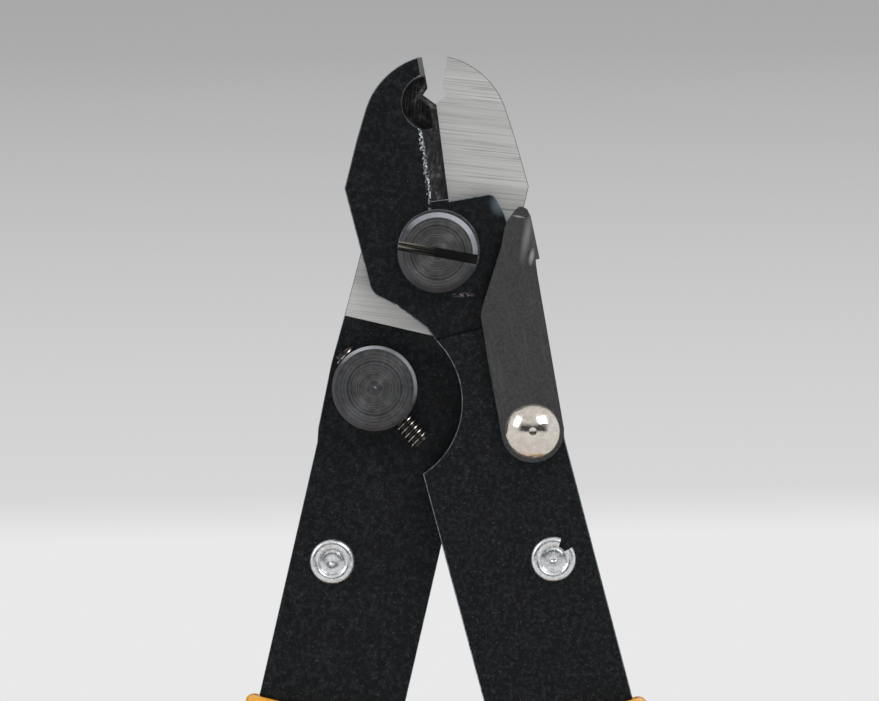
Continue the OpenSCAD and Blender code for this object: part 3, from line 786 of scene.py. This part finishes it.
post = middle_of("stop_barrel")
along_stop = (Matrix.Translation((post.x, -STOP_LEVEL * MM, post.z))
              @ Matrix.Rotation(math.pi / 2 + STOP_SLOPE, 4, "Y") @ Matrix.Scale(MM, 4))
finish = [blacked_steel("blacked_stop_post", post, 0x3C3C3C, 0x5A5B5D),
          chamfer_with_painted_highlight("post_chamfer_painted_highlight", post), sunk_steel()]
barrel = turned([(radius, height, PAINTED_LIT if radius < 0.2 else FACED) for radius, height in POST_FACE[:-1]]
                + [(4.72, 4.4, PAINTED_LIT), (5.1, 4.02, FACED), (POST_R, -0.81, FACED), (2.5, -0.81, FACED),
                   (2.5, -3.21, FACED), (3.3, -3.21, FACED), (3.3, -3.55, FACED), (2.6, -4.01, FACED),
                   (0, -4.01, FACED)])
barrel.transform(facing(post))
bore = turned([(0, -10, SUNK), (1.45, -10, SUNK), (1.45, 10, SUNK), (0, 10, SUNK)], 64)
bore.transform(along_stop)
barrel = carved(barrel, [bore], finish)
piece = new_piece("stop_post", barrel, finish)
broken_edges(piece, 0.05)
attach(piece, "back_handle")
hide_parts("stop_barrel")

finish = [screw_black(), rubbed_crest()]
screw = carved(rolled_thread(*SCREW_ENDS),
               [block((-2, -0.275, SCREW_ENDS[0] - 1), (2, 0.275, SCREW_ENDS[0] + 0.9))], finish)
screw.transform(along_stop)
piece = new_piece("threaded_stop_screw", screw, finish, crease=50)
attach(piece, "stop")
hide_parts("stop_screw")

# The lock: an arm pressed from 0.9 mm sheet, one side and the top folded back, phosphated to a
# matt dark grey. It turns on a nickelled rivet with a domed head, over a wave washer.
FOLD_FRONT = -4.41
TOP_FOLD = 0.85
FOLD_LEAN = math.radians(11)
# Painted highlights along the folds, where their bends catch the light: across and up from the pivot, half sizes
# and tone
PAINTED_FOLD_HIGHLIGHTS = ((10.6, 1.6, (0.55, 3.2), 0x77777B), (11.2, -0.7, (0.34, 1.1), 0x98989A),
             (9.7, 4.15, (0.8, 0.14), 0xA8A2AC))


def phosphated_sheet():
    """Phosphated sheet steel: matt dark grey with a fine even tooth, faint drawing marks, and painted highlights
    along the folds where their bends catch the light.
    """
    material, tree, shader, place = surface("phosphated_sheet")
    tooth = grains(tree, place, 0.24, 4)
    drawn = grains(tree, place, (0.35, 0.35, 5), 3, math.radians(-11))
    hue = add(tree, "ValToRGB", {0: tooth},
              stops=((0.3, linear(0x303030)), (0.5, linear(0x3B3B3B)), (0.72, linear(0x4C4C4C))))
    share = add(tree, "MapRange", {"Value": drawn, "From Min": 0.56, "From Max": 0.72, "To Min": 0,
                                   "To Max": 0.3})
    hue = add(tree, "Mix", {"Factor": share, "A": hue, "B": linear(0x5C5C5E)}, data_type="RGBA")
    for x, rise, half_sizes, tone in PAINTED_FOLD_HIGHLIGHTS:
        at = (x * MM, 0, pivot.z + rise * MM)
        hue = scuff_or_painted_highlight(tree, place, hue, at, half_sizes, tone, FOLD_LEAN)
    join(tree, shader, Base_Color=hue, Normal=add(tree, "Bump", {"Height": tooth, "Distance": 0.01 * MM}))
    shader.inputs["Roughness"].default_value = 0.5
    shader.inputs["Metallic"].default_value = 0.3
    return material


def sheared_sheet():
    """Edge of the sheet, sheared after the bath on a few strips: rubbed dark grey."""
    material, tree, shader, place = surface("rubbed_sheet_edge")
    rub = add(tree, "MapRange", {"Value": grains(tree, place, 0.4, 4), "From Min": 0.4, "From Max": 0.62})
    join(tree, shader,
         Base_Color=add(tree, "Mix", {"Factor": rub, "A": linear(0x4A4A4B), "B": linear(0xB4B5B8)},
                        data_type="RGBA"),
         Metallic=add(tree, "MapRange", {"Value": rub, "From Min": 0, "From Max": 1, "To Min": 0.3,
                                         "To Max": 1}))
    shader.inputs["Roughness"].default_value = 0.36
    return material


arm = merged_copy("lock_lever")
brow = [edge for edge in arm.edges
        if all(vert.co.y < (FOLD_FRONT + 0.02) * MM and vert.co.z > pivot.z + 3.7 * MM for vert in edge.verts)
        and edge.calc_face_angle(0) > math.radians(50)]
bmesh.ops.bevel(arm, geom=brow, offset=TOP_FOLD * MM, segments=6, profile=0.5, affect="EDGES",
                material=-1, clamp_overlap=True)
sharp = [edge for edge in arm.edges if edge.calc_face_angle(0) > math.radians(40)]
rounded = bmesh.ops.bevel(arm, geom=sharp, offset=0.12 * MM, segments=2, profile=0.5, affect="EDGES",
                          material=-1, clamp_overlap=True)
for face in rounded["faces"]:
    face.material_index = 1
piece = new_piece("lock_arm", arm, [phosphated_sheet(), sheared_sheet()], crease=40)
piece.modifiers.new("flat_faces_stay_flat", "WEIGHTED_NORMAL").keep_sharp = True
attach(piece, "lock")
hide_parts("lock_lever")


def bright_nickel():
    """Bright nickel plate: a warm mirror with a slight ripple from the barrel."""
    material, tree, shader, place = surface("bright_nickel")
    ripple = grains(tree, place, 0.7, 3)
    join(tree, shader,
         Base_Color=add(tree, "ValToRGB", {0: ripple},
                        stops=((0.3, linear(0xCFC7BC)), (0.7, linear(0xE9E2DA)))),
         Normal=add(tree, "Bump", {"Height": ripple, "Distance": 0.02 * MM}),
         Roughness=add(tree, "MapRange", {"Value": ripple, "From Min": 0.3, "From Max": 0.7,
                                          "To Min": 0.08, "To Max": 0.2}))
    shader.inputs["Metallic"].default_value = 1.0
    return material


lock_at = middle_of("lock_rivet")
DOME_RISE = 1.6
DOME_R = (3.28 ** 2 + DOME_RISE ** 2) / (2 * DOME_RISE)
dome = [(0, 5.95, 0), (0.3, 5.95, 0), (0.42, 5.99, 0), (0.5, 5.99, 0)]
for step in range(1, 21):
    radius = 0.5 + (3.28 - 0.5) * math.sin(step / 20 * math.pi / 2)
    dome.append((radius, 4.41 + DOME_RISE - DOME_R + math.sqrt(DOME_R ** 2 - radius ** 2), 0))
rivet = turned(dome + [(1.6, 4.41, 0), (1.6, 0.81, 0), (2.6, 0.81, 0), (2.6, 0.51, 0), (2.3, 0.21, 0),
                       (0, 0.21, 0)])
rivet.transform(facing(lock_at))
piece = new_piece("domed_lock_rivet", rivet, [bright_nickel()], crease=35)
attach(piece, "front_handle")
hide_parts("lock_rivet")

wave = turned([(1.66, 3.26, 0), (3.3, 3.26, 0), (3.3, 3.46, 0), (1.66, 3.46, 0), (1.66, 3.26, 0)], 96)
for vert in wave.verts:
    vert.co.z += 0.045 * math.cos(3 * math.atan2(vert.co.y, vert.co.x))
wave.transform(facing(lock_at))
piece = new_piece("wave_washer", wave, [spring_strip("rolled_wave_steel", 0x9DA1A6, 0xD2D5D8)])
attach(piece, "front_handle")
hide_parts("lock_wave_washer")

# The spring posts: zinc-plated pins, headed behind the handle and rolled over in front, which
# leaves a bright ring, a groove and a dimpled disc. The right one split a little as it was rolled.
ROLL = ((2.0, 0), (2.66, 0), (2.7, 0.12), (2.68, 0.32), (2.55, 0.52), (2.3, 0.66), (2.02, 0.7), (1.78, 0.62),
        (1.62, 0.46), (1.5, 0.34), (1.4, 0.34), (1.22, 0.44), (0.9, 0.47), (0.4, 0.45), (0.24, 0.34), (0, 0.3))
SPLIT = (math.radians(31), math.radians(69))


def rolled_zinc(name):
    """Bright zinc plate on a rolled pin end: light grey and mirror-like, slightly crinkled."""
    material, tree, shader, place = surface(name)
    crinkle = grains(tree, place, 0.35, 3)
    join(tree, shader,
         Base_Color=add(tree, "ValToRGB", {0: crinkle},
                        stops=((0.3, linear(0xB9BDC0)), (0.6, linear(0xEDEFF0)))),
         Normal=add(tree, "Bump", {"Height": crinkle, "Distance": 0.008 * MM}),
         Roughness=add(tree, "MapRange", {"Value": crinkle, "From Min": 0.3, "From Max": 0.7,
                                          "To Min": 0.18, "To Max": 0.3}))
    shader.inputs["Metallic"].default_value = 0.9
    return material


for node, body, face, back, head_face in (("left_spring_post", "back_handle", -0.81, -3.21, -5.66),
                                          ("right_spring_post", "front_handle", 3.21, 0.81, -4.65)):
    spot = middle_of(node)
    outline = [(0, head_face - 0.5, 0), (2.4, head_face - 0.5, 0), (2.7, head_face - 0.3, 0),
               (2.7, head_face, 0), (2.0, head_face, 0), (2.0, back, 0), (1.6, back, 0), (1.6, face, 0)]
    pin = turned(outline + [(radius, face + height, 0) for radius, height in ROLL], 96)
    finish = [rolled_zinc("rolled_zinc_" + node)]
    if node.startswith("right"):
        wedge = block((1.3, -0.35, face - 0.05), (4, 0.35, face + 2))
        for vert in wedge.verts:
            if vert.co.x > 2:
                vert.co.y *= 4.2
        bmesh.ops.rotate(wedge, cent=(0, 0, 0), matrix=Matrix.Rotation(sum(SPLIT) / 2, 3, "Z"),
                         verts=wedge.verts[:])
        pin = carved(pin, [wedge], finish)
    pin.transform(facing(spot))
    piece = new_piece(node + "_pin", pin, finish, crease=45)
    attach(piece, body)
    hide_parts(node)

# The return spring: 1.2 mm drawn wire, one and a half turns round the nut, with a leg hooked
# behind each post. The near leg steps back to pass behind the other handle as it closes.
WIRE_R = 0.6
COIL_R = 5.2
HOOK_R = 2.65
NEAR, FAR, NEAR_HOOK = 3.11, 4.96, 3.95
post_at = Vector((13.25, -36.83))
leg_lean = math.atan2(post_at.x, -post_at.y) - math.asin((COIL_R + HOOK_R) / post_at.length)


def hook(side, depth):
    """Points of a hook round a post, from the leg to the free end."""
    turns = [math.pi + leg_lean + math.radians(150) * step / 24 for step in range(25)]
    return [Vector((side * (post_at.x + HOOK_R * math.cos(a)), depth, post_at.y + HOOK_R * math.sin(a)))
            for a in turns]


def swept_wire(path, radius, sides=20):
    """Sweeps a round section along a path and closes its ends."""
    shape = bmesh.new()
    loops = []
    for number, point in enumerate(path):
        along = (path[min(number + 1, len(path) - 1)] - path[max(number - 1, 0)]).normalized()
        frame_turn = along.to_track_quat("Z", "Y").to_matrix().to_4x4()
        made = bmesh.ops.create_circle(shape, segments=sides, radius=radius,
                                       matrix=Matrix.Translation(point) @ frame_turn)["verts"]
        loops.append(list({edge for vert in made for edge in vert.link_edges}))
    for near, far in zip(loops, loops[1:]):
        bmesh.ops.bridge_loops(shape, edges=near + far)
    bmesh.ops.holes_fill(shape, edges=[edge for edge in shape.edges if edge.is_boundary], sides=0)
    bmesh.ops.recalc_face_normals(shape, faces=shape.faces[:])
    return shape


def drawn_wire():
    """Oil-tempered wire, drawn and bright: grey with fine lines along it."""
    material, tree, shader, place = surface("drawn_spring_wire")
    lines = grains(tree, place, (0.3, 0.3, 3), 3)
    join(tree, shader,
         Base_Color=add(tree, "ValToRGB", {0: lines},
                        stops=((0.3, linear(0x7E8286)), (0.65, linear(0xB4B8BC)))),
         Normal=add(tree, "Bump", {"Height": lines, "Distance": 0.006 * MM}))
    shader.inputs["Metallic"].default_value = 1.0
    shader.inputs["Roughness"].default_value = 0.28
    return material


out = Vector((math.cos(leg_lean), 0, math.sin(leg_lean)))
top = COIL_R * out
foot = Vector((post_at.x, 0, post_at.y)) - HOOK_R * out
near_leg = []
for step in range(1, 24):
    share = step / 24
    back = min(max((share - 0.13) / 0.14, 0), 1)
    depth = NEAR + (NEAR_HOOK - NEAR) * back * back * (3 - 2 * back)
    near_leg.append(top.lerp(foot, share) + Vector((0, depth, 0)))
sweep = math.radians(540) - 2 * leg_lean
coil = [Vector((COIL_R * math.cos(leg_lean + sweep * step / 150), NEAR + (FAR - NEAR) * step / 150,
                COIL_R * math.sin(leg_lean + sweep * step / 150))) for step in range(151)]
far_top, far_foot = coil[-1], hook(-1, FAR)[0]
far_leg = [far_top.lerp(far_foot, step / 12) for step in range(1, 12)]
path = hook(1, NEAR_HOOK)[::-1] + near_leg[::-1] + coil + far_leg + hook(-1, FAR)
wire = swept_wire(path, WIRE_R)
wire.transform(Matrix.Translation(pivot) @ Matrix.Scale(MM, 4))
piece = new_piece("torsion_spring", wire, [drawn_wire()], crease=60)
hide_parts("return_spring")
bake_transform(piece)

# The grips: soft amber vinyl sleeves, moulded and pushed over the handles, closed at the toe.
# The rim is rolled.
HANDLE_BEND = 62.0
HANDLE_TILT = math.radians(13.9)
HANDLE_OFF = 0.29
HANDLE_W, HANDLE_END_W = 17.25, 13.5
GRIP_FLOOR = 2.2
GRIP_WALL, GRIP_HALF = 1.5, 4.2
RIM_ROLL = 0.9
TOE_ROUND = 2.0
SQUARENESS = 2 / 3.4

tilt_out = Vector((math.cos(HANDLE_TILT), math.sin(HANDLE_TILT)))
tilt_down = Vector((math.sin(HANDLE_TILT), -math.cos(HANDLE_TILT)))
bend_start = HANDLE_OFF * tilt_out + HANDLE_BEND * tilt_down
bend_r = (pivot.z / MM - GRIP_FLOOR + bend_start.y) / math.sin(HANDLE_TILT)
bend_centre = bend_start - bend_r * tilt_out
bend_length = bend_r * HANDLE_TILT
steel_length = HANDLE_BEND + bend_length


def down_handle(along, across):
    """The point that far down the handle and out across it, from the pivot, in millimetres."""
    bent = min(max((along - HANDLE_BEND) / bend_length, 0), 1)
    if along < HANDLE_BEND:
        return bend_start + (along - HANDLE_BEND) * tilt_down + across * tilt_out
    turn = HANDLE_TILT * (1 - bent)
    return (bend_centre + (bend_r + across) * Vector((math.cos(turn), math.sin(turn)))
            - Vector((0, max(along - steel_length, 0))))


def half_width(along):
    bent = min(max((along - HANDLE_BEND) / bend_length, 0), 1)
    return (HANDLE_W + (HANDLE_END_W - HANDLE_W) * bent) / 2


def amber_vinyl():
    """Soft plasticised vinyl, moulded against a satin tool: glossy amber, faintly translucent."""
    material, tree, shader, place = surface("amber_vinyl")
    cloud = grains(tree, place, 6, 3)
    skin = grains(tree, place, 0.5, 3)
    join(tree, shader,
         Base_Color=add(tree, "ValToRGB", {0: cloud},
                        stops=((0.3, linear(0xEDA016)), (0.7, linear(0xF4AE24)))),
         Normal=add(tree, "Bump", {"Height": skin, "Distance": 0.012 * MM}),
         Roughness=add(tree, "MapRange", {"Value": skin, "From Min": 0.3, "From Max": 0.7,
                                          "To Min": 0.26, "To Max": 0.36}))
    shader.inputs["IOR"].default_value = 1.53
    shader.inputs["Subsurface Weight"].default_value = 0.08
    shader.inputs["Subsurface Scale"].default_value = 2 * MM
    return material


vinyl = amber_vinyl()
for node, body, side, start in (("right_grip", "front_handle", 1, 57.5),
                                ("left_grip", "back_handle", -1, 56.6)):
    end = steel_length + GRIP_FLOOR
    stations = [(start + 3.0, "hug", 0.04), (start + 1.1, "hug", 0.05), (start + 0.55, "hug", 0.14),
                (start + 0.28, "hug", 0.4)]
    stations += [(start + RIM_ROLL * (1 - math.cos(a)), "skin", RIM_ROLL * (1 - math.sin(a)))
                 for a in [math.radians(angle) for angle in (0, 15, 30, 45, 60, 75)]]
    body_length = end - TOE_ROUND - start - RIM_ROLL
    stations += [(start + RIM_ROLL + body_length * step / 40, "skin", 0) for step in range(41)]
    stations += [(end - TOE_ROUND + TOE_ROUND * math.sin(a), "skin", TOE_ROUND * (1 - math.cos(a)))
                 for a in [math.radians(angle) for angle in (12, 24, 36, 48, 60, 72, 90)]]
    sleeve = bmesh.new()
    around = 72
    bmesh.ops.create_grid(sleeve, x_segments=around, y_segments=len(stations) - 1, size=0.5)
    for vert in sleeve.verts:
        a = 2 * math.pi * (vert.co.x + 0.5)
        along, kind, inset = stations[round((vert.co.y + 0.5) * (len(stations) - 1))]
        power = SQUARENESS if kind == "skin" else 0.2
        wide = half_width(along) + (GRIP_WALL - inset if kind == "skin" else inset)
        thick = GRIP_HALF - inset if kind == "skin" else 1.2 + inset
        c, q = math.cos(a), math.sin(a)
        spot = down_handle(along, wide * math.copysign(abs(c) ** power, c))
        vert.co = Vector((spot.x, -STOP_LEVEL + thick * math.copysign(abs(q) ** power, q), spot.y))
    bmesh.ops.remove_doubles(sleeve, verts=sleeve.verts[:], dist=0.0005)
    bmesh.ops.holes_fill(sleeve, edges=[edge for edge in sleeve.edges if edge.is_boundary
                                        and edge.verts[0].co.z < -90], sides=0)
    bmesh.ops.recalc_face_normals(sleeve, faces=sleeve.faces[:])
    if side < 0:
        bmesh.ops.rotate(sleeve, cent=(0, 0, 0), matrix=Matrix.Rotation(math.pi, 3, "Z"),
                         verts=sleeve.verts[:])
    sleeve.transform(Matrix.Translation(pivot) @ Matrix.Scale(MM, 4))
    piece = new_piece(node + "_sleeve", sleeve, [vinyl], crease=60)
    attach(piece, body)
    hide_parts(node)

size = {"cad": [list(corner) for corner in cad_box],
        "visual": [list(corner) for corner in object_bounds()]}
